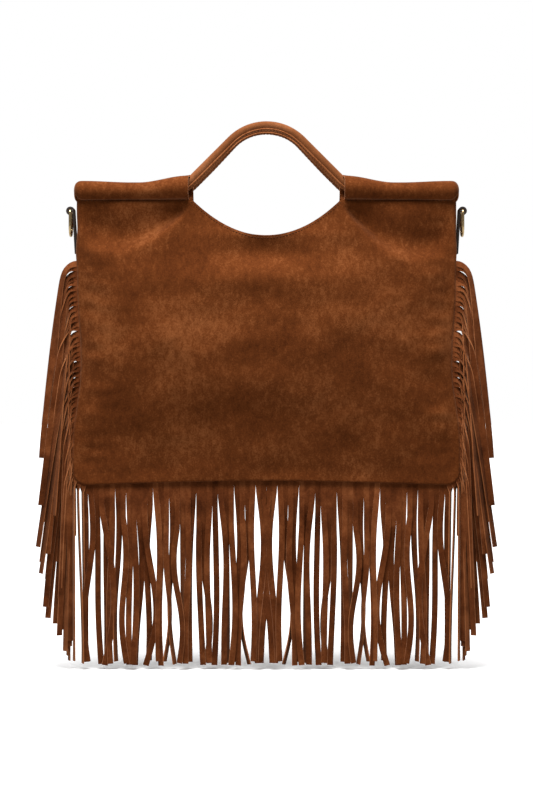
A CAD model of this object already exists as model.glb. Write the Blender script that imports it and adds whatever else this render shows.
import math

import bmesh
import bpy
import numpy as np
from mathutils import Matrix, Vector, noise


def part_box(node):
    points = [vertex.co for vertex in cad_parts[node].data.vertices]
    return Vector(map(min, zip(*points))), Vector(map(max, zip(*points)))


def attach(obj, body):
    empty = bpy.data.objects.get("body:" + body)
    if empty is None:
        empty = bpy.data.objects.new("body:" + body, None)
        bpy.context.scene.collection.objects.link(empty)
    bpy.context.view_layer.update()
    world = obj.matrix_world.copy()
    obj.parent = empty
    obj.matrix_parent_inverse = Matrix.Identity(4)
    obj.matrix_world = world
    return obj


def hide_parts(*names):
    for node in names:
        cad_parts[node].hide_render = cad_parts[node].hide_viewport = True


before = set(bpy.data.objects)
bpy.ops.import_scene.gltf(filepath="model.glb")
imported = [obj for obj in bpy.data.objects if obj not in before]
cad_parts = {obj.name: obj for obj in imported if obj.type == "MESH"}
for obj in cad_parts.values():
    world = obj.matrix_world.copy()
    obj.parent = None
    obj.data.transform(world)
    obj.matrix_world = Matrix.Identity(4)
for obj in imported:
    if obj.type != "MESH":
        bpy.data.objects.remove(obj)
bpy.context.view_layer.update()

# %% [markdown]
# # A fringed suede handbag
#
# The real bag is cut from soft suede: two panels whose top edges fold over a stiff handle rod and are
# sewn down as sleeves, a narrow gusset between them, and long strands of fringe caught in the seam on
# three sides. The frame holds those pieces at their true size and place. This lesson gives each of them
# its real surface: folded cloth that sags, cut strands that fall, thread, leather and plated metal.
#
# Everything is in metres, with the front of the bag towards -Y and the carry point at the origin.

MM = 0.001

panel_low, panel_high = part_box("front_panel")
cover_low, cover_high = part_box("front_handle_cover")
fringe_low, fringe_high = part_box("bottom_fringe")
side_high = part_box("right_fringe")[1]
ring_low, ring_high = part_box("right_ring")
tab_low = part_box("right_tab")[0]

ROD_Y = -(cover_low.y + cover_high.y) / 2
ROD_R = (cover_high.y - cover_low.y) / 2
BAG_BOTTOM = panel_low.z
print("bag body is", round(1000 * (panel_high.x - panel_low.x)), "mm wide, rods at y", round(ROD_Y, 4))

# %% [markdown]
# ## Camera, light and floor
#
# A soft bag like this is shown hanging straight, seen level from in front. A long lens from about two
# metres keeps the two handles nearly on top of each other. The studio is plain: a pale floor just under
# the tips of the fringe, a wide sun from above and in front, a round soft lamp nearer the sleeves, and an
# even surround. The surround looks white to the camera but gives the suede much less light than that, so
# its folds still show.

# %% Camera
CAMERA_AWAY = 2.1
VIEW_HEIGHT = 0.798
SENSOR_MM = 36
VIEW_CENTRE_Z = -0.265

camera_data = bpy.data.cameras.new("camera")
camera_data.sensor_width = SENSOR_MM
camera_data.lens = SENSOR_MM * CAMERA_AWAY / VIEW_HEIGHT
camera = bpy.data.objects.new("camera", camera_data)
camera.location = (0, -CAMERA_AWAY - ROD_Y, VIEW_CENTRE_Z)
camera.rotation_euler = (math.pi / 2, 0, 0)
bpy.context.collection.objects.link(camera)
bpy.context.scene.camera = camera
bpy.context.scene.view_settings.view_transform = "Standard"
print("lens", round(camera_data.lens, 1), "mm")

# %% Surround
LIGHT_FROM_AROUND = 0.15
LIGHT_TO_CAMERA = 1.0

world = bpy.data.worlds.new("studio")
bpy.context.scene.world = world
world.use_nodes = True
nodes, links = world.node_tree.nodes, world.node_tree.links
surround = nodes["Background"]
surround.inputs["Color"].default_value = (1, 1, 1, 1)
seen = nodes.new("ShaderNodeLightPath")
level = nodes.new("ShaderNodeMapRange")
level.inputs["To Min"].default_value = LIGHT_FROM_AROUND
level.inputs["To Max"].default_value = LIGHT_TO_CAMERA
links.new(seen.outputs["Is Camera Ray"], level.inputs["Value"])
links.new(level.outputs["Result"], surround.inputs["Strength"])
print("surround:", world.name)

# %% Lamps and floor
FLOOR_BELOW_TIPS = 0.004


def lamp(name, kind, place, aim, power, size):
    """A sun, whose size is in degrees, or a round area lamp, whose size is in metres."""
    data = bpy.data.lights.new(name, kind)
    data.energy = power
    if kind == "SUN":
        data.angle = math.radians(size)
    else:
        data.shape = "DISK"
        data.size = size
    light = bpy.data.objects.new(name, data)
    light.location = place
    light.rotation_euler = (Vector(aim) - Vector(place)).to_track_quat("-Z", "Y").to_euler()
    bpy.context.collection.objects.link(light)


lamp("overhead", "SUN", (-0.06, -0.44, 2.0), (0, 0, 0), 4.5, 34)
lamp("softbox", "AREA", (-0.12, -0.42, 0.55), (0, 0, -0.10), 7.5, 0.5)

bpy.ops.mesh.primitive_plane_add(size=40, location=(0, 0, fringe_low.z - FLOOR_BELOW_TIPS))
floor = bpy.context.object
floor.name = "studio_floor"
print("lamps:", [light.name for light in bpy.data.lights])

# %% [markdown]
# ## The suede, and the other finishes
#
# Suede is split leather whose flesh side is sanded to a short nap. Where the nap is stroked one way it
# looks dark, the other way light, so a panel is mottled in patches and faint streaks, over a very fine
# grain. All of the suede pieces share those effects, so they are one node group with its own inputs, and
# each material turns the group's shade into its own colours. The handles are rubbed lighter than the
# panels, and where suede is cut, its pale inner fibre shows. The soft bloom at the rims is the shader's
# sheen.

# %% Small helpers to build node groups
def new_group(name, inputs, outputs):
    tree = bpy.data.node_groups.new(name, "ShaderNodeTree")
    for label, value in inputs.items():
        socket = tree.interface.new_socket(label, in_out="INPUT", socket_type="NodeSocketFloat")
        socket.default_value = value
    for label in outputs:
        tree.interface.new_socket(label, in_out="OUTPUT", socket_type="NodeSocketFloat")
    return tree, tree.nodes.new("NodeGroupInput"), tree.nodes.new("NodeGroupOutput")


def noise_node(tree, vector, scale, detail=3.0, roughness=0.55, distortion=0.0):
    node = tree.nodes.new("ShaderNodeTexNoise")
    node.inputs["Scale"].default_value = scale
    node.inputs["Detail"].default_value = detail
    node.inputs["Roughness"].default_value = roughness
    node.inputs["Distortion"].default_value = distortion
    tree.links.new(vector, node.inputs["Vector"])
    return node


def math_node(tree, operation, a, b, c=None):
    node = tree.nodes.new("ShaderNodeMath")
    node.operation = operation
    for socket, value in zip(node.inputs, (a, b, c)):
        if value is None:
            continue
        if isinstance(value, (int, float)):
            socket.default_value = value
        else:
            tree.links.new(value, socket)
    return node.outputs[0]


# %% The nap: patches, brushed streaks and grain
nap, nap_in, nap_out = new_group(
    "suede_nap",
    {"Patches": 0.6, "Streaks": 0.5, "Grain": 0.45, "Patch size": 1.0},
    ["Shade", "Height"],
)
place = nap.nodes.new("ShaderNodeTexCoord").outputs["Object"]
sized = nap.nodes.new("ShaderNodeVectorMath")
sized.operation = "DIVIDE"
nap.links.new(place, sized.inputs[0])
spread = nap.nodes.new("ShaderNodeCombineXYZ")
for axis in "XYZ":
    nap.links.new(nap_in.outputs["Patch size"], spread.inputs[axis])
nap.links.new(spread.outputs[0], sized.inputs[1])
patches = noise_node(nap, sized.outputs[0], 17, 4, 0.5, 0.4).outputs["Fac"]
slant = nap.nodes.new("ShaderNodeMapping")
slant.inputs["Rotation"].default_value = (0, math.radians(24), 0)
slant.inputs["Scale"].default_value = (1, 1, 0.6)
nap.links.new(place, slant.inputs["Vector"])
streaks = noise_node(nap, slant.outputs[0], 68, 4, 0.65, 0.9).outputs["Fac"]
mottle = noise_node(nap, slant.outputs[0], 210, 4, 0.7, 0.4).outputs["Fac"]
grain = noise_node(nap, place, 620, 3, 0.7).outputs["Fac"]
fibre = noise_node(nap, place, 1900, 2, 0.6).outputs["Fac"]


def swing(signal, strength, gain):
    """The signal's swing about its middle, times a strength and a gain."""
    centred = math_node(nap, "SUBTRACT", signal, 0.5)
    return math_node(nap, "MULTIPLY", math_node(nap, "MULTIPLY", centred, gain), strength)


total = math_node(nap, "ADD", swing(patches, nap_in.outputs["Patches"], 1.5),
                  swing(streaks, nap_in.outputs["Streaks"], 0.8))
total = math_node(nap, "ADD", total, swing(mottle, nap_in.outputs["Grain"], 1.1))
total = math_node(nap, "ADD", total, swing(grain, nap_in.outputs["Grain"], 0.9))
shade = math_node(nap, "ADD", total, 0.5)
nap.links.new(shade, nap_out.inputs["Shade"])
coarse = math_node(nap, "MULTIPLY", grain, 0.6)
fine = math_node(nap, "MULTIPLY", fibre, 0.4)
nap.links.new(math_node(nap, "ADD", coarse, fine), nap_out.inputs["Height"])
print("nap group:", len(nap.nodes), "nodes")

# %% Helpers for materials
def new_material(name, roughness, metallic=0.0):
    material = bpy.data.materials.new(name)
    material.use_nodes = True
    shader = material.node_tree.nodes["Principled BSDF"]
    shader.inputs["Roughness"].default_value = roughness
    shader.inputs["Metallic"].default_value = metallic
    return material, material.node_tree, shader


def ramp_node(tree, signal, stops):
    node = tree.nodes.new("ShaderNodeValToRGB")
    for position, _ in stops[2:]:
        node.color_ramp.elements.new(position)
    for element, (position, colour) in zip(node.color_ramp.elements, sorted(stops)):
        element.position = position
        element.color = (*colour, 1)
    tree.links.new(signal, node.inputs["Fac"])
    return node.outputs["Color"]


def bump_node(tree, signal, distance, strength, shader):
    node = tree.nodes.new("ShaderNodeBump")
    node.inputs["Distance"].default_value = distance
    node.inputs["Strength"].default_value = strength
    tree.links.new(signal, node.inputs["Height"])
    tree.links.new(node.outputs["Normal"], shader.inputs["Normal"])


# %% Suede materials
def suede(name, dark, middle, light, patches=0.6, streaks=0.5, grain=0.45, size=1.0, toned=False):
    """Suede in three shades. toned reads the strands' own lightness from their tone attribute."""
    material, tree, shader = new_material(name, 0.93)
    shader.inputs["Specular IOR Level"].default_value = 0.03
    shader.inputs["Sheen Weight"].default_value = 0.30
    shader.inputs["Sheen Roughness"].default_value = 0.40
    shader.inputs["Sheen Tint"].default_value = (1.0, 0.56, 0.34, 1)
    effect = tree.nodes.new("ShaderNodeGroup")
    effect.node_tree = nap
    values = {"Patches": patches, "Streaks": streaks, "Grain": grain, "Patch size": size}
    for label, value in values.items():
        effect.inputs[label].default_value = value
    signal = effect.outputs["Shade"]
    if toned:
        tone = tree.nodes.new("ShaderNodeAttribute")
        tone.attribute_name = "tone"
        signal = math_node(tree, "ADD", signal, tone.outputs["Fac"])
    colour = ramp_node(tree, signal, [(0.12, dark), (0.5, middle), (0.9, light)])
    tree.links.new(colour, shader.inputs["Base Color"])
    bump_node(tree, effect.outputs["Height"], 0.4 * MM, 0.7, shader)
    return material


panel_suede = suede("tan_suede", (0.060, 0.0140, 0.0028), (0.116, 0.0300, 0.0066), (0.235, 0.076, 0.023),
                    patches=0.55, streaks=0.30, grain=0.75)
handle_suede = suede("handle_suede", (0.095, 0.028, 0.0085), (0.180, 0.060, 0.020), (0.34, 0.13, 0.055),
                     patches=0.5, streaks=0.3, grain=0.4, size=0.5)
fringe_suede = suede("fringe_suede", (0.045, 0.0105, 0.0026), (0.118, 0.031, 0.0085), (0.24, 0.075, 0.024),
                     patches=0.5, streaks=0.8, size=0.4, toned=True)
cut_edge = suede("cut_suede_edge", (0.16, 0.046, 0.013), (0.30, 0.100, 0.034), (0.44, 0.175, 0.070),
                 patches=0.5, streaks=0.8, size=0.4)
print("suedes:", [material.name for material in (panel_suede, handle_suede, fringe_suede, cut_edge)])

# %% [markdown]
# Thread, the lining's plain weave, painted leather, plated metal and the plain rod each need only a little
# more. The weave is two crossed waves, so the cloth shows threads over and under. The others vary their
# colour with a noise pattern. Plating is smooth, with faint rubbing marks that change how sharply it
# shines.

# %% The other materials
def varied(tree, shader, scale, stops, detail=3.0, roughness=0.55):
    """Varies a finish's colour with a noise pattern on the piece's own coordinates."""
    place = tree.nodes.new("ShaderNodeTexCoord").outputs["Object"]
    pattern = noise_node(tree, place, scale, detail, roughness).outputs["Fac"]
    tree.links.new(ramp_node(tree, pattern, stops), shader.inputs["Base Color"])
    return pattern


thread, tree, shader = new_material("brown_thread", 0.8)
shader.inputs["Specular IOR Level"].default_value = 0.1
varied(tree, shader, 1500, [(0.3, (0.050, 0.015, 0.005)), (0.7, (0.11, 0.035, 0.012))])

lining_cloth, tree, shader = new_material("lining_cloth", 0.85)
place = tree.nodes.new("ShaderNodeTexCoord").outputs["Object"]
weave = []
for direction in ("X", "Z"):
    wave = tree.nodes.new("ShaderNodeTexWave")
    wave.bands_direction = direction
    wave.inputs["Scale"].default_value = 420
    wave.inputs["Distortion"].default_value = 0.6
    tree.links.new(place, wave.inputs["Vector"])
    weave.append(wave.outputs["Fac"])
crossed = math_node(tree, "MULTIPLY", weave[0], weave[1])
tree.links.new(ramp_node(tree, crossed, [(0.0, (0.1, 0.062, 0.04)), (0.6, (0.2, 0.135, 0.09))]),
               shader.inputs["Base Color"])
bump_node(tree, crossed, 0.2 * MM, 0.5, shader)

dark_leather, tree, shader = new_material("dark_leather", 0.5)
shader.inputs["Specular IOR Level"].default_value = 0.4
pores = varied(tree, shader, 700, [(0.3, (0.012, 0.007, 0.005)), (0.7, (0.04, 0.024, 0.017))], 4, 0.7)
bump_node(tree, pores, 0.15 * MM, 0.4, shader)

gold_metal, tree, shader = new_material("gold_metal", 0.22, 1.0)
rubbing = varied(tree, shader, 260, [(0.3, (0.72, 0.5, 0.24)), (0.7, (0.86, 0.64, 0.34))], 4, 0.7)
shine = math_node(tree, "MULTIPLY_ADD", rubbing, 0.25, 0.12)
tree.links.new(shine, shader.inputs["Roughness"])

rod_plastic, tree, shader = new_material("rod_plastic", 0.55)
varied(tree, shader, 90, [(0.35, (0.45, 0.36, 0.24)), (0.65, (0.56, 0.46, 0.32))])
finishes = (thread, lining_cloth, dark_leather, gold_metal, rod_plastic)
print("finishes:", [material.name for material in finishes])

# %% [markdown]
# The floor is white paper. It looks pale to the camera, but throws little light back up, so the fringe
# stays dark underneath, and a faint glow of its own keeps the soft shadow from going grey.

# %% The floor's paper
pale_floor, tree, shader = new_material("pale_floor", 0.9)
place = tree.nodes.new("ShaderNodeTexCoord").outputs["Object"]
paper = noise_node(tree, place, 3)
paper_white = ramp_node(tree, paper.outputs["Fac"], [(0.3, (0.93, 0.93, 0.93)), (0.7, (0.95, 0.95, 0.95))])
seen = tree.nodes.new("ShaderNodeLightPath")
dim = tree.nodes.new("ShaderNodeMix")
dim.data_type = "RGBA"
dim.inputs["A"].default_value = (0.25, 0.25, 0.25, 1)
tree.links.new(seen.outputs["Is Camera Ray"], dim.inputs["Factor"])
tree.links.new(paper_white, dim.inputs["B"])
tree.links.new(dim.outputs["Result"], shader.inputs["Base Color"])
shader.inputs["Emission Color"].default_value = (1, 1, 1, 1)
shader.inputs["Emission Strength"].default_value = 0.18
floor.data.materials.append(pale_floor)
print("materials in all:", len(bpy.data.materials))

# %% [markdown]
# ## Helpers for cloth and straps
#
# Soft pieces start as a flat grid, just as they are cut from a flat hide. A rule then takes each point of
# the grid to its place on the bag. Working on all the points at once with numpy keeps that quick. The
# finished sheet gets its real thickness from a Solidify modifier, which is applied.

# %% Helpers for points and modifiers
def smoothstep(low, high, value):
    t = np.clip((value - low) / (high - low), 0, 1)
    return t * t * (3 - 2 * t)


def select_only(piece):
    bpy.ops.object.select_all(action="DESELECT")
    piece.select_set(True)
    bpy.context.view_layer.objects.active = piece


def apply_all(piece):
    select_only(piece)
    for modifier in list(piece.modifiers):
        bpy.ops.object.modifier_apply(modifier=modifier.name)


def get_points(piece):
    points = np.empty(len(piece.data.vertices) * 3)
    piece.data.vertices.foreach_get("co", points)
    return points.reshape(-1, 3)


def set_points(piece, points):
    piece.data.vertices.foreach_set("co", np.asarray(points, dtype=float).ravel())
    piece.data.update()


# %% A flat grid, and its thickness
def grid_sheet(name, columns, rows):
    """A flat grid with its points' column and row numbers, ready to be shaped."""
    bpy.ops.object.select_all(action="DESELECT")
    bpy.ops.mesh.primitive_grid_add(x_subdivisions=columns, y_subdivisions=rows, size=2)
    piece = bpy.context.object
    piece.name = name
    points = get_points(piece)
    column = np.rint((points[:, 0] + 1) / 2 * columns).astype(int)
    row = np.rint((points[:, 1] + 1) / 2 * rows).astype(int)
    return piece, column, row


def thicken(piece, thickness, face=None, rim=None):
    """Gives a sheet its thickness, inwards. Its cut rim shows the second material."""
    for material in (face, rim):
        if material:
            piece.data.materials.append(material)
    solid = piece.modifiers.new("thickness", "SOLIDIFY")
    solid.thickness = thickness
    solid.offset = -1
    solid.material_offset_rim = 1 if rim else 0
    apply_all(piece)


# %% Closing, turning outwards and handing over a finished piece
SOFT_ANGLE = math.radians(50)


def outward(piece):
    """Merges doubled points and turns all the faces outwards."""
    select_only(piece)
    bpy.ops.object.mode_set(mode="EDIT")
    bpy.ops.mesh.select_all(action="SELECT")
    bpy.ops.mesh.remove_doubles(threshold=0.00001)
    bpy.ops.mesh.normals_make_consistent(inside=False)
    bpy.ops.object.mode_set(mode="OBJECT")


def finish_piece(piece, body, replaces=(), smooth=SOFT_ANGLE):
    """Smooths a piece, fixes it to the body it moves with, and names its finish and the nodes it replaces."""
    select_only(piece)
    bpy.ops.object.shade_smooth_by_angle(angle=smooth)
    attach(piece, body)
    if replaces:
        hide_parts(*replaces)
    triangles = sum(len(face.vertices) - 2 for face in piece.data.polygons)
    print(piece.name, "has", triangles, "triangles")


# %% Bands: threads and strands along a line
SQUARE = [(-1, -1), (1, -1), (1, 1), (-1, 1)]
THIN_SIDES = (1, 3)


def round_section(sides):
    turn = 2 * math.pi / sides
    return [(math.cos(i * turn), math.sin(i * turn)) for i in range(sides)]


def band_mesh(name, lines, section, materials, second=(), tones=None):
    """Closed bands along lines. Each line is (centre points, width directions, half width, half thickness).

    The section's sides listed in second take the second material, and tones gives each band its own
    lightness as an attribute.
    """
    count = len(section)
    a = np.array([s[0] for s in section])[None, :, None]
    b = np.array([s[1] for s in section])[None, :, None]
    points, faces, slots, start = [], [], [], 0
    for centre, across, half_width, half_thick in lines:
        along = np.gradient(centre, axis=0)
        along /= np.linalg.norm(along, axis=1, keepdims=True)
        across = across - (across * along).sum(axis=1, keepdims=True) * along
        across /= np.linalg.norm(across, axis=1, keepdims=True)
        face_way = np.cross(along, across)
        width = np.broadcast_to(half_width, len(centre))[:, None, None]
        ring = centre[:, None] + across[:, None] * a * width + face_way[:, None] * b * half_thick
        points.append(ring.reshape(-1, 3))
        rings = len(centre)
        for r in range(rings - 1):
            for i in range(count):
                j = (i + 1) % count
                low, high = start + r * count, start + (r + 1) * count
                faces.append((low + i, low + j, high + j, high + i))
                slots.append(1 if i in second else 0)
        faces.append(tuple(start + i for i in reversed(range(count))))
        faces.append(tuple(start + (rings - 1) * count + i for i in range(count)))
        slots += [len(materials) - 1] * 2
        start += rings * count
    mesh = bpy.data.meshes.new(name)
    mesh.from_pydata(np.concatenate(points).tolist(), [], faces)
    for material in materials:
        mesh.materials.append(material)
    mesh.polygons.foreach_set("material_index", slots)
    if tones is not None:
        values = np.concatenate([np.full(len(p), tone) for p, tone in zip(points, tones)])
        mesh.attributes.new("tone", "FLOAT", "POINT").data.foreach_set("value", values.astype(np.float32))
    piece = bpy.data.objects.new(name, mesh)
    bpy.context.collection.objects.link(piece)
    return piece


# %% [markdown]
# ## The panels
#
# Each panel is one sheet of suede. Its sides and bottom are sewn to the gusset and turned, which rolls the
# edge inwards. Its top is cut with a scoop in the middle, and the two flaps left beside the scoop are folded
# back over the handle rod and stitched down inside, which makes the sleeves. So every point of a flat grid
# is taken to its place: rows below the seam follow the panel, rows above it run round the rod, and the rows
# above the scoop are cut away.
#
# A hanging bag pulls from the sleeves' inner ends, where the handles carry it. That gives a soft ridge
# from each of those ends down and outwards, a hollow under each sleeve, and slow waves over the middle.

# %% Outline of the sewn edge
HALF_WIDTH = 0.190
WAIST = 0.0040
FLARE = 0.004
CORNER = 0.016
BOTTOM_RISE = 0.0042
SEAM_Z = -0.0657
SCOOP_Z = -0.102
SCOOP_HALF = 0.0745
MOUTH_X = 0.078
SLEEVE_END_X = 0.1925
SUEDE = 0.0016
SEAM_Y = 0.0155
SEAM_PINCH = 0.0152


def half_width(z):
    waist = WAIST * np.exp(-(((z + 0.225) / 0.045) ** 2))
    return HALF_WIDTH - waist + FLARE * smoothstep(-0.245, -0.310, z)


def bottom_edge(x):
    corner_x = half_width(BAG_BOTTOM) - CORNER
    into = np.clip(np.abs(x) - corner_x, 0, CORNER)
    rise = BOTTOM_RISE * np.cos(np.pi / 2 * np.minimum(1, np.abs(x) / corner_x))
    return BAG_BOTTOM + rise + CORNER - np.sqrt(np.maximum(CORNER ** 2 - into ** 2, 0))


def top_edge(x):
    scoop = SCOOP_Z + (SEAM_Z - SCOOP_Z) * (np.abs(x) / SCOOP_HALF) ** 2
    return np.minimum(SEAM_Z, scoop)


print("panel is", round(2000 * HALF_WIDTH), "mm wide and", round(1000 * (SEAM_Z - BAG_BOTTOM)), "mm high")

# %% The valley and the ridge below each sleeve
HOLLOW = 0.0078
RIDGE = 0.0026
# Where the valley under each sleeve runs: height against distance from the middle.
VALLEY_X = [0.074, 0.086, 0.099, 0.110, 0.126, 0.146, 0.156, 0.173, 0.190]
VALLEY_LEFT = [-0.066, -0.075, -0.085, -0.092, -0.098, -0.103, -0.100, -0.098, -0.094]
VALLEY_RIGHT = [-0.067, -0.078, -0.089, -0.098, -0.106, -0.110, -0.109, -0.106, -0.100]


def sleeve_fold(x, z):
    """The valley under a sleeve and the ridge below it, which starts at the sleeve's mouth."""
    side = np.abs(x)
    left_valley = np.interp(side, VALLEY_X, VALLEY_LEFT)
    right_valley = np.interp(side, VALLEY_X, VALLEY_RIGHT)
    below = np.where(x < 0, left_valley, right_valley) - z
    narrow = smoothstep(0.150, 0.080, side)
    rise = 0.021 - 0.009 * narrow
    hollow = -HOLLOW * np.exp(-((np.minimum(below, 0) / 0.020) ** 2))
    slope = hollow + (HOLLOW + RIDGE) * smoothstep(0, rise, below)
    fade = np.exp(-(np.maximum(below - rise, 0) / (0.030 - 0.010 * narrow)) ** 2)
    slope = np.where(slope < 0, slope * smoothstep(0.001, 0.010, SEAM_Z - z), slope)
    along = smoothstep(0.073, 0.090, side) * smoothstep(0.190, 0.172, side)
    return slope * fade * along


# %% Waves, gathers and single soft folds
# Each fold: its height, its centre across and up, and how far it spreads each way.
SCOOP_FOLDS = [
    (2.6 * MM, (0, -0.100), (0.050, 0.007)),
    (-3.8 * MM, (0, -0.120), (0.055, 0.010)),
    (4.6 * MM, (-0.01, -0.145), (0.085, 0.014)),
]
SIDE_FOLDS = [
    (1.8 * MM, (0.177, -0.285), (0.010, 0.016)),
    (1.4 * MM, (0.168, -0.205), (0.014, 0.022)),
]


def hump(value, centre, width):
    return np.exp(-(((value - centre) / width) ** 2))


def add_folds(depth, x, z, folds):
    for height, centre, spread in folds:
        depth = depth + height * (hump(x, centre[0], spread[0]) * hump(z, centre[1], spread[1]))
    return depth


def slow_waves(x, z, seed):
    values = [
        3.4 * noise.noise(Vector((a * 9, b * 11, seed)))
        + 2.0 * noise.noise(Vector((a * 24, b * 30, seed + 7)))
        + 0.5 * noise.noise(Vector((a * 70, b * 85, seed + 3)))
        for a, b in zip(x, z)
    ]
    return np.array(values) * MM


def side_puckers(x, z, seed):
    """Short gathers that run in from the side seams."""
    values = [noise.noise(Vector((a * 22 + b * 10, b * 95, seed))) for a, b in zip(x, z)]
    return 1.8 * MM * np.array(values) * smoothstep(0.135, 0.180, np.abs(x))


# %% How far the panel stands out from the bag's middle
BELLY = 0.0205


def panel_depth(x, z, seed):
    up = (z - BAG_BOTTOM) / (SEAM_Z - BAG_BOTTOM)
    across = 1 - np.minimum(1, np.abs(x) / half_width(z)) ** 4
    low_half = smoothstep(-0.05, 0.52, up)
    high_half = 1 - 0.80 * smoothstep(0.50, 1.0, up)
    depth = SEAM_Y + BELLY * across * low_half * high_half
    folds = add_folds(sleeve_fold(x, z), x, z, SCOOP_FOLDS)
    folds = add_folds(folds, np.abs(x), z, SIDE_FOLDS)
    edge_fade = np.clip(across * 3.2, 0, 1) * smoothstep(0, 0.06, up)
    depth = depth + (folds + slow_waves(x, z, seed) + side_puckers(x, z, seed)) * edge_fade
    pinch = smoothstep(SCOOP_HALF - 0.004, MOUTH_X + 0.012, np.abs(x)) * np.exp((z - SEAM_Z) / 0.004)
    return depth - (depth - SEAM_PINCH) * pinch


# %% The columns and rows of the flat cut
MOUTH_COLUMNS = 32
SLEEVE_COLUMNS = 46
EDGE_ROLL = np.array([4.8, 3.6, 2.6, 1.7, 1.0, 0.45, 0.15, 0.0]) * MM
BODY_ROWS = 110
WRAP_ROWS = 32

half_columns = np.concatenate([
    np.linspace(0, MOUTH_X, MOUTH_COLUMNS + 1),
    np.linspace(MOUTH_X, HALF_WIDTH - 0.006, SLEEVE_COLUMNS + 1)[1:],
    HALF_WIDTH - EDGE_ROLL,
])
COLUMNS = 2 * (len(half_columns) - 1)
bottom_rows = EDGE_ROLL[::-1]
PANEL_ROWS = len(bottom_rows) - 1 + BODY_ROWS
ROWS = PANEL_ROWS + WRAP_ROWS
print("each panel's grid:", COLUMNS, "columns and", ROWS, "rows")

# %% The body, from the turned bottom edge up to the seam, or to the scoop between the sleeves
SIDE_ROLL = 3.0 * MM
BOTTOM_ROLL = 1.3 * MM
SIDE_RIPPLE = 1.3 * MM


def body_points(row, flat_x, side, seed):
    in_body = np.minimum(row, PANEL_ROWS)
    low = bottom_edge(flat_x / HALF_WIDTH * half_width(BAG_BOTTOM))
    high = top_edge(flat_x)
    turned_rows = len(bottom_rows)
    from_bottom = np.where(in_body < turned_rows, bottom_rows[np.minimum(in_body, turned_rows - 1)], 0)
    climb = np.clip((in_body - (turned_rows - 1)) / BODY_ROWS, 0, 1)
    lift = EDGE_ROLL[0]
    z = np.where(climb > 0, low + lift + (high - low - lift) * climb, low + from_bottom)
    ripple = np.array([noise.noise(Vector((s, b * 38, seed))) for s, b in zip(side, z)]) * SIDE_RIPPLE
    ripple *= smoothstep(0.06, 0.19, flat_x) * smoothstep(SEAM_Z, SEAM_Z - 0.04, z)
    x = (flat_x / HALF_WIDTH * half_width(z) + ripple) * side
    depth = panel_depth(x, z, seed)
    to_side = half_width(z) * (1 - flat_x / HALF_WIDTH)
    for to_edge, roll in ((to_side, SIDE_ROLL), (z - low, BOTTOM_ROLL)):
        turned = np.clip(1 - to_edge / roll, 0, 1)
        depth = depth - roll * (1 - np.sqrt(1 - turned ** 2))
    return x, -depth, z


# %% The sleeve, up the front of the rod, over it, down behind, and a little below the seam inside
SLEEVE_Y = -0.015
SLEEVE_Z = -0.0571
SLEEVE_R = 0.0087
END_ROUND = 8.0 * MM
WRAP_DEGREES = 348
MOUTH_BEHIND = 4.0 * MM
ALLOWANCE = 1.6 * MM


def sleeve_section(side):
    """Centre and radius of the sleeve's round, wider towards its mouth and closed at its outer end."""
    open_up = smoothstep(0.128, MOUTH_X, side)
    swell = smoothstep(0.135, 0.182, side)
    close = np.clip((side - (SLEEVE_END_X - END_ROUND)) / END_ROUND, 0, 1)
    y = SLEEVE_Y - 0.0024 * open_up
    z = SLEEVE_Z + 0.0036 * open_up + 0.0004 * swell
    rim = 0.0005 * hump(side, MOUTH_X, 0.002)
    radius = (SLEEVE_R + 0.0011 * swell + 0.0031 * open_up + rim) * (1 - close ** 2.4) ** (1 / 2.4)
    return y, z, radius


def sleeve_points(row, flat_x, side):
    wrap = np.clip((row - PANEL_ROWS) / (WRAP_ROWS - 2), 0, 1)
    longer = (SLEEVE_END_X - HALF_WIDTH) * smoothstep(0.15, HALF_WIDTH, flat_x)
    centre_y, centre_z, radius = sleeve_section(flat_x + longer)
    angle = np.radians(-90 + WRAP_DEGREES * wrap)
    y = centre_y - radius * np.cos(angle)
    z = centre_z + radius * np.sin(angle) - np.clip(row - (ROWS - 2), 0, 2) * ALLOWANCE
    behind = MOUTH_BEHIND * smoothstep(0.42, 0.62, wrap) * smoothstep(MOUTH_X + 0.016, MOUTH_X, flat_x)
    x = flat_x / HALF_WIDTH * half_width(SEAM_Z) + longer * np.minimum(1, wrap * 6) - behind
    return x * side, y, z


# %% Cut, fold and hang one panel
def cut_scoop(piece, row, flat_x):
    """Cuts away the rows above the scoop, so that no sleeve is left between the two mouths."""
    sheet = bmesh.new()
    sheet.from_mesh(piece.data)
    sheet.verts.ensure_lookup_table()
    gone = [
        face for face in sheet.faces
        if max(row[v.index] for v in face.verts) > PANEL_ROWS
        and min(flat_x[v.index] for v in face.verts) < MOUTH_X - 0.5 * MM
    ]
    bmesh.ops.delete(sheet, geom=gone, context="FACES")
    bmesh.ops.remove_doubles(sheet, verts=sheet.verts, dist=0.02 * MM)
    sheet.to_mesh(piece.data)
    sheet.free()


def fold_panel(name, front, seed):
    """front is 1, or -1 for the back panel, which is folded the other way. seed sets its soft waves."""
    piece, column, row = grid_sheet(name, COLUMNS, ROWS)
    middle = COLUMNS // 2
    side = np.sign(column - middle)
    flat_x = half_columns[np.abs(column - middle)]
    body = np.stack(body_points(row, flat_x, side, seed), axis=1)
    sleeve = np.stack(sleeve_points(row, flat_x, side), axis=1)
    points = np.where((row > PANEL_ROWS)[:, None], sleeve, body)
    set_points(piece, points * np.array([1, front, 1]))
    cut_scoop(piece, row, flat_x)
    if front < 0:
        piece.data.flip_normals()
    thicken(piece, SUEDE, panel_suede, cut_edge)
    return piece


# %% Both panels
FRONT_WAVES = 3.0
BACK_WAVES = 11.0

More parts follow.
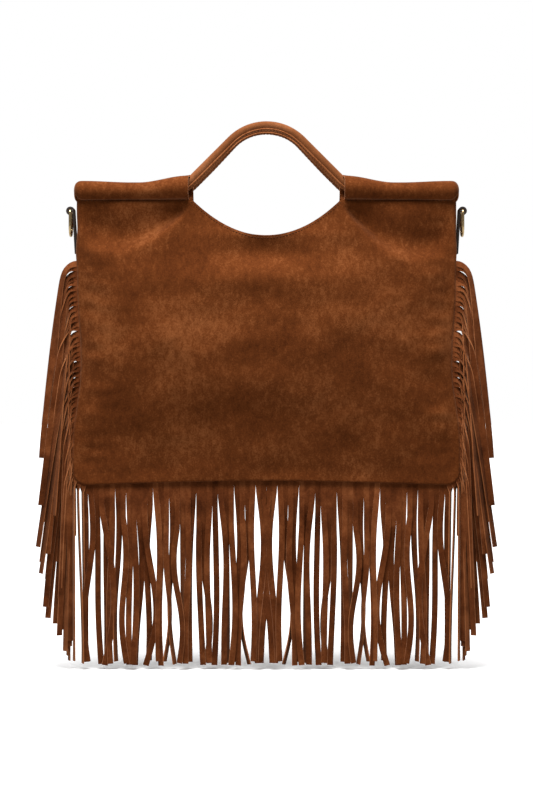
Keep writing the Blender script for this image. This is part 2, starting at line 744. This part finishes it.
front_panel = fold_panel("front_panel_suede", 1, FRONT_WAVES)
back_panel = fold_panel("back_panel_suede", -1, BACK_WAVES)
finish_piece(front_panel, "bag", ["front_panel"])
finish_piece(back_panel, "bag", ["back_panel"])

# %% [markdown]
# ## The handles
#
# A handle is a stiff rod bent to an arch and covered with a tube of suede. The tube's two edges are sewn
# together along the inner side of the arch, so a thin raised band, the welt, runs there with a row of
# stitches along each of its pale cut edges. The line of the arch is a round top, straight flanks at 45
# degrees, and a round foot that brings the rod level inside the sleeve.

# %% The handle's line
ARCH_TOP = cover_high.z - ROD_R
ROD_Z = ARCH_TOP - 0.0635
ARCH_R = 0.050
FOOT_R = 0.030
SLOPE = math.pi / 4


def handle_line(reach, step):
    """Points of the handle's centreline from -reach to +reach, measured along the line from its top."""
    arch_end = ARCH_R * SLOPE
    drop = ARCH_TOP - ROD_Z - (ARCH_R + FOOT_R) * (1 - math.cos(SLOPE))
    straight_end = arch_end + drop / math.sin(SLOPE)
    foot_end = straight_end + FOOT_R * SLOPE
    s = np.linspace(-reach, reach, int(2 * reach / step) + 1)
    a = np.abs(s)
    angle = np.minimum(a, arch_end) / ARCH_R
    x = ARCH_R * np.sin(angle)
    z = ARCH_TOP - ARCH_R * (1 - np.cos(angle))
    run = np.clip(a - arch_end, 0, straight_end - arch_end)
    x += run * math.cos(SLOPE)
    z -= run * math.sin(SLOPE)
    turn = SLOPE - np.clip(a - straight_end, 0, foot_end - straight_end) / FOOT_R
    x += FOOT_R * (math.sin(SLOPE) - np.sin(turn))
    z -= FOOT_R * (np.cos(turn) - math.cos(SLOPE))
    x += np.maximum(a - foot_end, 0)
    return np.stack([x * np.sign(s), np.zeros_like(s), z], axis=1)


def inner_side(line):
    """The direction from the line towards the inside of the arch, at each point."""
    along = np.gradient(line, axis=0)
    along /= np.linalg.norm(along, axis=1, keepdims=True)
    return np.stack([along[:, 2], np.zeros(len(line)), -along[:, 0]], axis=1)


# %% The section of a cover, with its welt
HANDLE_REACH = 0.2065
WELT_REACH = 0.122
LAP_ANGLE = 0.76
LAP_RAISE = 0.4 * MM
TUBE_DROP = 0.5 * MM
PUCKER = 0.13 * MM
PUCKER_PITCH = 0.0045


def cover_angles():
    """Angles round the tube from its inner side: the welt, its cut edge, then the rest of the tube."""
    welt = np.linspace(np.pi / 2, LAP_ANGLE + 0.03, 9)
    tube = np.linspace(LAP_ANGLE, -np.pi / 2, 16)
    half = np.concatenate([welt, tube])
    return np.concatenate([half, np.pi - half[-2:0:-1]]), len(welt)


def cover_radius(angles, along):
    """How far the suede stands from the rod's line, for each angle and distance along it."""
    shows = (1 - smoothstep(WELT_REACH - 0.012, WELT_REACH, np.abs(along)))[:, None]
    from_welt = (np.arccos(np.clip(np.sin(angles), -1, 1)))[None]
    lip_height = (0.1 + 1.5 * smoothstep(0.02, 0.08, np.abs(along)))[:, None] * MM
    lip = lip_height * np.exp(-((from_welt / 0.42) ** 2))
    pucker = PUCKER * np.sin(along / PUCKER_PITCH * 2 * np.pi)[:, None] * np.exp(-((from_welt / 0.9) ** 2))
    step = np.where(from_welt < np.pi / 2 - LAP_ANGLE - 0.01, LAP_RAISE, -TUBE_DROP)
    return ROD_R + (lip + pucker + step) * shows


# %% The covers
HANDLE_SUEDE = 1.2 * MM
depth_way = np.array([0.0, 1.0, 0.0])


def handle_cover(name, y):
    line = handle_line(HANDLE_REACH, 1.6 * MM)
    down = inner_side(line)[:, None]
    along = np.linspace(-HANDLE_REACH, HANDLE_REACH, len(line))
    angles, welt_count = cover_angles()
    radius = cover_radius(angles, along)[..., None]
    outwards = down * np.sin(angles)[None, :, None] + depth_way * np.cos(angles)[None, :, None]
    ring = line[:, None] + outwards * radius
    count, rings = len(angles), len(line)

    def in_welt(i):
        return i < welt_count or i >= count - welt_count

    faces, slots = [], []
    for r in range(rings - 1):
        for i in range(count):
            j = (i + 1) % count
            faces.append((r * count + i, r * count + j, (r + 1) * count + j, (r + 1) * count + i))
            slots.append(1 if in_welt(i) else 0)
    mesh = bpy.data.meshes.new(name)
    mesh.from_pydata((ring.reshape(-1, 3) + depth_way * y).tolist(), [], faces)
    mesh.materials.append(handle_suede)
    mesh.materials.append(cut_edge)
    mesh.polygons.foreach_set("material_index", slots)
    piece = bpy.data.objects.new(name, mesh)
    bpy.context.collection.objects.link(piece)
    thicken(piece, HANDLE_SUEDE)
    return piece


for which, side in (("front", -1), ("back", 1)):
    cover = handle_cover(f"{which}_handle_suede", side * ROD_Y)
    finish_piece(cover, f"{which}_handle", [f"{which}_handle_cover"], math.radians(40))

# %% [markdown]
# ## Stitches
#
# A sewn line is a row of short threads that dip into the leather at each end. One stitch is a bent, thin
# band, and the rows copy it at an even pitch along a line: round the scoop, under both sleeves, and
# along each handle's welt.

# %% Rows of stitches
STITCH_PITCH = 3.2 * MM
STITCH_LENGTH = 2.3 * MM
THREAD_R = 0.34 * MM


def stitch_rows(name, rows, body):
    """rows are (points along the sewn line, outward directions at those points)."""
    bands = []
    for line, out in rows:
        steps = np.linalg.norm(np.diff(line, axis=0), axis=1)
        s = np.concatenate([[0], np.cumsum(steps)])
        for start in np.arange(0.3 * STITCH_PITCH, s[-1] - STITCH_LENGTH, STITCH_PITCH):
            at = start + np.linspace(0, STITCH_LENGTH, 4)
            spots = np.stack([np.interp(at, s, line[:, k]) for k in range(3)], axis=1)
            normal = np.stack([np.interp(at, s, out[:, k]) for k in range(3)], axis=1)
            dome = np.array([-0.8, 0.45, 0.45, -0.8])[:, None] * THREAD_R
            across = np.cross(spots[-1] - spots[0], normal[0])
            bands.append((spots + normal * dome, np.tile(across, (4, 1)), THREAD_R, THREAD_R))
    piece = band_mesh(name, bands, round_section(6), [thread])
    finish_piece(piece, body, smooth=math.radians(80))
    return piece


def panel_rows(front, seed):
    """One row round the scoop, and one under each sleeve, on a panel with this seed's waves."""
    scoop_x = np.linspace(-SCOOP_HALF - 0.002, SCOOP_HALF + 0.002, 70)
    sleeve_x = np.linspace(MOUTH_X + 0.002, HALF_WIDTH - 0.004, 50)
    rows = []
    for x, below in ((scoop_x, 2.6 * MM), (sleeve_x, 1.2 * MM), (-sleeve_x, 1.2 * MM)):
        z = top_edge(x) - below
        y = -panel_depth(x, z, seed) * front
        out = np.tile([0.0, -front, 0.0], (len(x), 1))
        rows.append((np.stack([x, y, z], axis=1), out))
    return rows


panel_stitches = [
    stitch_rows("front_panel_stitches", panel_rows(1, FRONT_WAVES), "bag"),
    stitch_rows("back_panel_stitches", panel_rows(-1, BACK_WAVES), "bag"),
]

# %% Stitches along both edges of each welt
STITCH_ANGLE = 1.12
STITCH_REACH = WELT_REACH - 0.014

for which, side in (("front", -1), ("back", 1)):
    line = handle_line(STITCH_REACH, 1.5 * MM)
    along = np.linspace(-1, 1, len(line)) * STITCH_REACH
    down = inner_side(line)
    rows = []
    for angle in (STITCH_ANGLE, math.pi - STITCH_ANGLE):
        out = down * math.sin(angle) + depth_way * math.cos(angle)
        spot = line + out * cover_radius(np.array([angle]), along) + depth_way * side * ROD_Y
        rows.append((spot, out))
    stitch_rows(f"{which}_handle_stitches", rows, f"{which}_handle")

# %% [markdown]
# ## Gusset and lining
#
# The gusset is a long narrow strip that runs down one side, along the bottom and up the other, and gives
# the bag its depth. It is soft, so between its two seams it sinks in slightly. Inside hangs a lining of
# plain cloth, sewn as a sock and caught under the turned top edges.

# %% The line of the seam
GUSSET_TOP = -0.066


def outline(inset, spacing):
    """Points down the left side, round the bottom and up the right, and the outward directions there."""
    corner_z = BAG_BOTTOM + CORNER
    z = np.arange(GUSSET_TOP, corner_z, -spacing)
    side = np.stack([half_width(z), z], axis=1)
    angle = np.linspace(0, np.pi / 2, 9)
    corner_x = half_width(BAG_BOTTOM) - CORNER
    corner = np.stack([corner_x + CORNER * np.cos(angle), corner_z - CORNER * np.sin(angle)], axis=1)
    x = np.arange(corner_x, 0, -spacing)[1:]
    base = np.stack([x, bottom_edge(x)], axis=1)
    right = np.concatenate([side, corner, base, [[0, bottom_edge(0.0)]]])
    left = right[-2::-1] * np.array([-1, 1])
    line = np.concatenate([right, left])[::-1]
    along = np.gradient(line, axis=0)
    out = np.stack([along[:, 1], -along[:, 0]], axis=1)
    out /= np.linalg.norm(out, axis=1, keepdims=True)
    return line - out * inset, out


# %% The gusset strip
GUSSET_SPACING = 4 * MM
GUSSET_ROWS = 14
GUSSET_FROM_MM = -12.3
GUSSET_SPAN_MM = 26.1


def gusset_strip():
    line, out = outline(1.0 * MM, GUSSET_SPACING)
    piece, column, row = grid_sheet("gusset_suede", len(line) - 1, GUSSET_ROWS)
    v = row / GUSSET_ROWS
    y = (GUSSET_FROM_MM + v * GUSSET_SPAN_MM) * MM
    sink = np.sin(np.pi * v) * (1.2 + 0.6 * np.sin(column * 0.33)) * MM
    spot = line[column] - out[column] * sink[:, None]
    set_points(piece, np.stack([spot[:, 0], y, spot[:, 1]], axis=1))
    piece.data.flip_normals()
    thicken(piece, SUEDE, panel_suede, cut_edge)
    return piece


gusset = gusset_strip()
finish_piece(gusset, "bag", ["gusset"])

# %% The lining sock
LINING_CLOTH = 0.6 * MM
LINING_INSET = 5.0 * MM
LINING_BEHIND = 5.6 * MM
LINING_BELOW_EDGE = 2.2 * MM
LINING_CORNER = 8 * MM
FLOOR_LIFT = 0.0075
LINING_COLUMNS = 120
LINING_ROWS = 60
FLOOR_ROWS = 6


def lining_sock():
    """A sock round the inside. Its lowest rows close in to make its floor."""
    piece, column, row = grid_sheet("lining_cloth_sock", LINING_COLUMNS, LINING_ROWS)
    turn = column / LINING_COLUMNS
    front = np.where(turn < 0.5, 1, -1)
    u = np.where(turn < 0.5, turn * 2, 2 - turn * 2) * 2 - 1
    u = np.sign(u) * np.abs(u) ** 0.8
    floor_z = BAG_BOTTOM + FLOOR_LIFT
    v = np.clip((row - FLOOR_ROWS) / (LINING_ROWS - FLOOR_ROWS), 0, 1)
    inward = np.clip((FLOOR_ROWS - row) / FLOOR_ROWS, 0, 1)
    reach = HALF_WIDTH - LINING_INSET
    top = top_edge(u * reach) - LINING_BELOW_EDGE
    z = floor_z + (top - floor_z) * v
    corner = LINING_CORNER * np.clip(1 - (z - floor_z) / 0.014, 0, 1) ** 2
    x = u * (half_width(z) - LINING_INSET - corner)
    to_side = 1 - np.abs(u) ** 8
    depth = np.maximum((panel_depth(x, z, FRONT_WAVES) - LINING_BEHIND) * to_side, 0)
    depth = depth * (1 - inward)
    set_points(piece, np.stack([x, -depth * front, z], axis=1))
    sheet = bmesh.new()
    sheet.from_mesh(piece.data)
    bmesh.ops.remove_doubles(sheet, verts=sheet.verts, dist=0.05 * MM)
    bmesh.ops.recalc_face_normals(sheet, faces=sheet.faces)
    sheet.to_mesh(piece.data)
    sheet.free()
    thicken(piece, LINING_CLOTH, lining_cloth)
    return piece


lining = lining_sock()
finish_piece(lining, "bag", ["lining"])

# %% [markdown]
# ## The fringe
#
# The fringe is cut from strips of suede, slit into strands about 6 mm wide that stay joined along the
# sewn edge. Along the bottom each strand hangs almost straight, twists as it falls, and leans to its
# neighbours, so the tips gather in small groups. At the sides a strand leaves the seam level, turns on
# its edge, bends over and falls, and each one lies over the roots of those below it.
#
# Each strand is a band along a line, with its own twist. The left and right halves use the same draws,
# mirrored, and the random numbers are seeded, so the bag is the same every time.

# %% Bottom strands
STRAND_WIDTH = 5.9 * MM
STRAND_THICK = 1.15 * MM
FRINGE_Y = -13.4 * MM
STRAND_LENGTH = fringe_high.z - fringe_low.z
STEPS = 30
draws = np.random.default_rng(17)
pairs = 34
pitch = (fringe_high.x - fringe_low.x) / (2 * pairs)


def bottom_strand(i, gather):
    """A strand's points, width directions, half width and lightness. It leans towards gather as it falls."""
    s = np.linspace(0, 1, STEPS)
    root = (i + 0.5) * pitch
    slit = draws.uniform(0.05, 0.28)
    pull = draws.uniform(0.1, 0.6)
    bow = draws.normal(0, 1.7) * MM * draws.choice([1, 1, 1.6, 2.4])
    wave = draws.normal(0, 1.4) * MM
    turn = math.radians(draws.choice([4, 10, 18, 32, 58]) * draws.choice([-1, 1]))
    swing_y = draws.uniform(-3.5, 3.5) * MM
    shorter = draws.uniform(0, 5) * MM
    free = np.clip((s - slit) / (1 - slit), 0, 1)
    x = root + (gather - root) * pull * free ** 1.7
    x += bow * np.sin(np.pi * free ** 1.2) + wave * np.sin(2 * np.pi * free)
    layer = (2.0 if i % 2 else -1.4) * MM * smoothstep(0, 0.12, free)
    y = FRINGE_Y + 1.6 * MM * (1 - smoothstep(0, 0.12, s)) + swing_y * free + layer
    z = fringe_high.z - s * (STRAND_LENGTH - shorter)
    twist = turn * smoothstep(0.05, 0.7, free)
    across = np.stack([np.cos(twist), np.sin(twist), np.zeros(STEPS)], axis=1)
    half = pitch / 2 + (STRAND_WIDTH / 2 - pitch / 2) * smoothstep(0.0, 0.10, free)
    tone = draws.normal(0.02, 0.09) - (0.08 if i % 2 else 0)
    return np.stack([x, y, z], axis=1), across, half, tone


def bottom_strands():
    """The strands of both halves. Every two to five of them gather towards one place."""
    lines, tones = [], []
    group = 0
    gather = 0.0
    for i in range(pairs):
        if group == 0:
            group = int(draws.integers(2, 6))
            gather = (i + group / 2) * pitch
        group -= 1
        centre, across, half, tone = bottom_strand(i, gather)
        for side in (-1, 1):
            flip = np.array([side, 1, 1])
            lines.append((centre * flip, across * flip, half, STRAND_THICK / 2))
            tones.append(tone)
    return lines, tones


strands, tones = bottom_strands()
fringe_looks = [fringe_suede, cut_edge]
bottom_fringe = band_mesh("bottom_fringe_strands", strands, SQUARE, fringe_looks, THIN_SIDES, tones)
finish_piece(bottom_fringe, "bag", ["bottom_fringe"], math.radians(30))

# %% Where the side strands leave the seam
SIDE_STRANDS = 46
SIDE_TOP = side_high.z - 1.5 * MM
ROOT_INSET = 1.5 * MM


def side_root(down):
    """A root's place and its turn round the corner. down is 0 at the top and 1 on the bottom corner."""
    straight = SIDE_TOP - (BAG_BOTTOM + CORNER)
    run = down * (straight + 0.80 * CORNER * np.pi / 2)
    turn = max(0.0, run - straight) / CORNER
    radius = CORNER - ROOT_INSET
    z = SIDE_TOP - min(run, straight)
    x = half_width(np.array(z)) - CORNER
    return x + radius * math.cos(turn), z - radius * math.sin(turn), turn


# %% How a side strand falls and twists
SIDE_FREE = 190 * MM
CORNER_FROM = 0.90


def side_fall(down, over, draws):
    """A strand's points, its slope and the way along it. over is its share, 0 to 1, of the outward lean."""
    root_x, root_z, turn = side_root(down)
    length = min(SIDE_FREE, root_z - fringe_low.z - draws.uniform(1, 9) * MM)
    step = np.diff(np.linspace(0, 1, STEPS + 8) ** 1.3, prepend=0) * length
    s = np.cumsum(step)
    outer = 1 - smoothstep(0.48, 1.0, down)
    arch = 1 - smoothstep(0.45, 0.85, down)
    bend = (5.0 + 6.0 * arch + 4.0 * over * outer) * MM
    inward = -0.9 * smoothstep(0.9, 0.6, down)
    tip_lean = math.radians(inward + (5.4 + 9.0 * down) * outer * over ** 0.8)
    lean = tip_lean + math.radians(9 * over * outer) * np.exp(-s / 0.04)
    start = math.radians(draws.uniform(-14, 6)) + turn
    sway = math.radians(draws.normal(0, 1.5)) * np.sin(s / SIDE_FREE * np.pi)
    fall = math.radians(90) - lean + sway
    tilt = start + (fall - start) * (1 - np.exp(-(s / bend) ** 2))
    x = root_x + np.cumsum(np.cos(tilt) * step)
    z = root_z - np.cumsum(np.sin(tilt) * step)
    back = draws.uniform(-3.0, 9.0) * MM
    y = FRINGE_Y + back * smoothstep(0.006, 0.05, s) + draws.normal(0, 1.2) * MM * np.sin(s * 30)
    return np.stack([x, y, z], axis=1), tilt, s


def side_twist(down, s, draws):
    """How far a strand is turned: on its edge over the bend, then back as it settles."""
    settle = math.radians(draws.choice([draws.uniform(10, 55), draws.uniform(125, 170)]))
    arched = math.radians(draws.uniform(34, 50 + 24 * min(1, 3 * down)))
    if down > CORNER_FROM:
        settle = math.radians(draws.uniform(60, 76))
        arched = settle
    return arched * smoothstep(0.002, 0.010, s) + (settle - arched) * smoothstep(0.012, 0.045, s)


# %% Side strands
def side_strands(draws):
    """The topmost strands lean out most, and those below them by turns more and less."""
    lines, tones = [], []
    for i in range(SIDE_STRANDS):
        down = i / (SIDE_STRANDS - 1)
        over = (0.93 + i * 0.618) % 1 if i > 9 else 1 - 0.075 * i
        centre, tilt, s = side_fall(down, over, draws)
        twist = side_twist(down, s, draws)
        level = np.stack([np.sin(tilt), np.zeros_like(s), np.cos(tilt)], axis=1)
        across = level * np.cos(twist)[:, None] + depth_way * np.sin(twist)[:, None]
        lines.append((centre, across, STRAND_WIDTH / 2, STRAND_THICK / 2))
        tones.append(draws.normal(0.04, 0.10))
    return lines, tones


def mirrored(lines):
    flip = np.array([-1, 1, 1])
    return [(centre * flip, across * flip, half, thick) for centre, across, half, thick in lines]


right_lines, tones = side_strands(np.random.default_rng(8))
left_lines = mirrored(right_lines)
right_fringe = band_mesh("right_fringe_strands", right_lines, SQUARE, fringe_looks, THIN_SIDES, tones)
left_fringe = band_mesh("left_fringe_strands", left_lines, SQUARE, fringe_looks, THIN_SIDES, tones)
finish_piece(right_fringe, "bag", ["right_fringe"], math.radians(30))
finish_piece(left_fringe, "bag", ["left_fringe"], math.radians(30))

# %% [markdown]
# ## Tabs and rings
#
# At each side, near the top of the gusset, a short strap of dark leather is sewn on and curls outwards
# round the straight bar of a gold D-ring. A shoulder strap would clip there. The ring is one bent wire,
# and its two ends meet in the curl.
#
# Both are made the way the real ones are bent: the strap's or the wire's cut end is one flat face, which
# is extruded along the straight stretches and spun round the bends. The left ones are mirrored copies.

# %% Bending a strap or a wire by hand
BAR_X = (ring_low.x + ring_high.x) / 2
WIRE_R = (ring_high.x - ring_low.x) / 2
BAR_Z = ring_high.z - WIRE_R
CURL_R = 3.1 * MM
TAB_THICK = 2.5 * MM
TAB_WIDTH = 12 * MM
TAB_FOOT_X = 0.1914
CURL_DEGREES = 230


def extrude_face(offset):
    bpy.ops.mesh.extrude_region_move(TRANSFORM_OT_translate={"value": offset})


def spin_face(centre, degrees, axis, steps):
    bpy.ops.mesh.spin(steps=steps, angle=math.radians(degrees), center=centre, axis=axis)


def start_face(name):
    """Puts the new face's place into its mesh, and selects it in edit mode, ready to be extruded."""
    piece = bpy.context.object
    piece.name = name
    bpy.ops.object.transform_apply(location=True, rotation=True, scale=True)
    bpy.ops.object.mode_set(mode="EDIT")
    bpy.ops.mesh.select_all(action="SELECT")
    return piece


def both_sides(right, material, body, replaced):
    """Makes the left twin of a right-hand piece, and finishes both. {} in a name stands for the side."""
    right.data.materials.append(material)
    select_only(right)
    bpy.ops.object.duplicate()
    left = bpy.context.object
    left.name = right.name.replace("right", "left")
    left.scale.x = -1
    bpy.ops.object.transform_apply(location=False, rotation=False, scale=True)
    for piece, word in ((right, "right"), (left, "left")):
        outward(piece)
        finish_piece(piece, body.format(word), [replaced.format(word)], math.radians(35))


# %% Leather tabs
def tab():
    foot = Vector((TAB_FOOT_X, 0, tab_low.z))
    bend = Vector((BAR_X - CURL_R, 0, BAR_Z))
    bpy.ops.object.select_all(action="DESELECT")
    bpy.ops.mesh.primitive_plane_add(size=1, location=foot)
    bpy.context.object.scale = (TAB_THICK, TAB_WIDTH, 1)
    strap = start_face("right_tab_leather")
    extrude_face(bend - foot)
    spin_face((BAR_X, 0, BAR_Z), -CURL_DEGREES, (0, 1, 0), 24)
    bpy.ops.object.mode_set(mode="OBJECT")
    soft = strap.modifiers.new("edges", "BEVEL")
    soft.width = 0.4 * MM
    soft.segments = 2
    apply_all(strap)
    return strap


both_sides(tab(), dark_leather, "bag", "{}_tab")

# %% Gold rings
RING_GAP = 0.1 * MM


def d_ring():
    reach = (ring_high.y - ring_low.y) / 2 - WIRE_R
    corner = 2.4 * MM
    bow_z = ring_low.z + WIRE_R + reach
    side = BAR_Z - corner - bow_z
    flat = reach - corner
    bpy.ops.object.select_all(action="DESELECT")
    bpy.ops.mesh.primitive_circle_add(vertices=16, radius=WIRE_R, fill_type="NGON",
                                      location=(BAR_X, 0, BAR_Z), rotation=(math.pi / 2, 0, 0))
    ring = start_face("right_ring_wire")
    bpy.ops.transform.translate(value=(0, RING_GAP, 0))
    extrude_face((0, flat - RING_GAP, 0))
    spin_face((BAR_X, flat, BAR_Z - corner), 90, (1, 0, 0), 7)
    extrude_face((0, 0, -side))
    spin_face((BAR_X, 0, bow_z), 180, (1, 0, 0), 30)
    extrude_face((0, 0, side))
    spin_face((BAR_X, -flat, BAR_Z - corner), 90, (1, 0, 0), 7)
    extrude_face((0, flat - RING_GAP, 0))
    bpy.ops.object.mode_set(mode="OBJECT")
    return ring


both_sides(d_ring(), gold_metal, "{}_ring", "{}_ring")

# %% [markdown]
# ## The rods
#
# Inside each cover is a plain bent rod. The frame's own shape is already the real one, and it hardly
# shows, so it is kept as it is and only gets its finish.

# %% The rods' finish
for which in ("front", "back"):
    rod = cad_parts[f"{which}_handle_core"]
    rod.data.materials.clear()
    rod.data.materials.append(rod_plastic)
print("rods finished in", rod_plastic.name)

# %% [markdown]
# ## What was cut flat
#
# Every soft piece began as a flat piece of suede or cloth. Its size before it was folded, sewn and hung is
# declared here, so that it can be held against the finished shape. Nothing in the bag is padded, and it has
# no free cord.

# %% Gusset, lining and fringe
seam_line = outline(0, GUSSET_SPACING)[0]
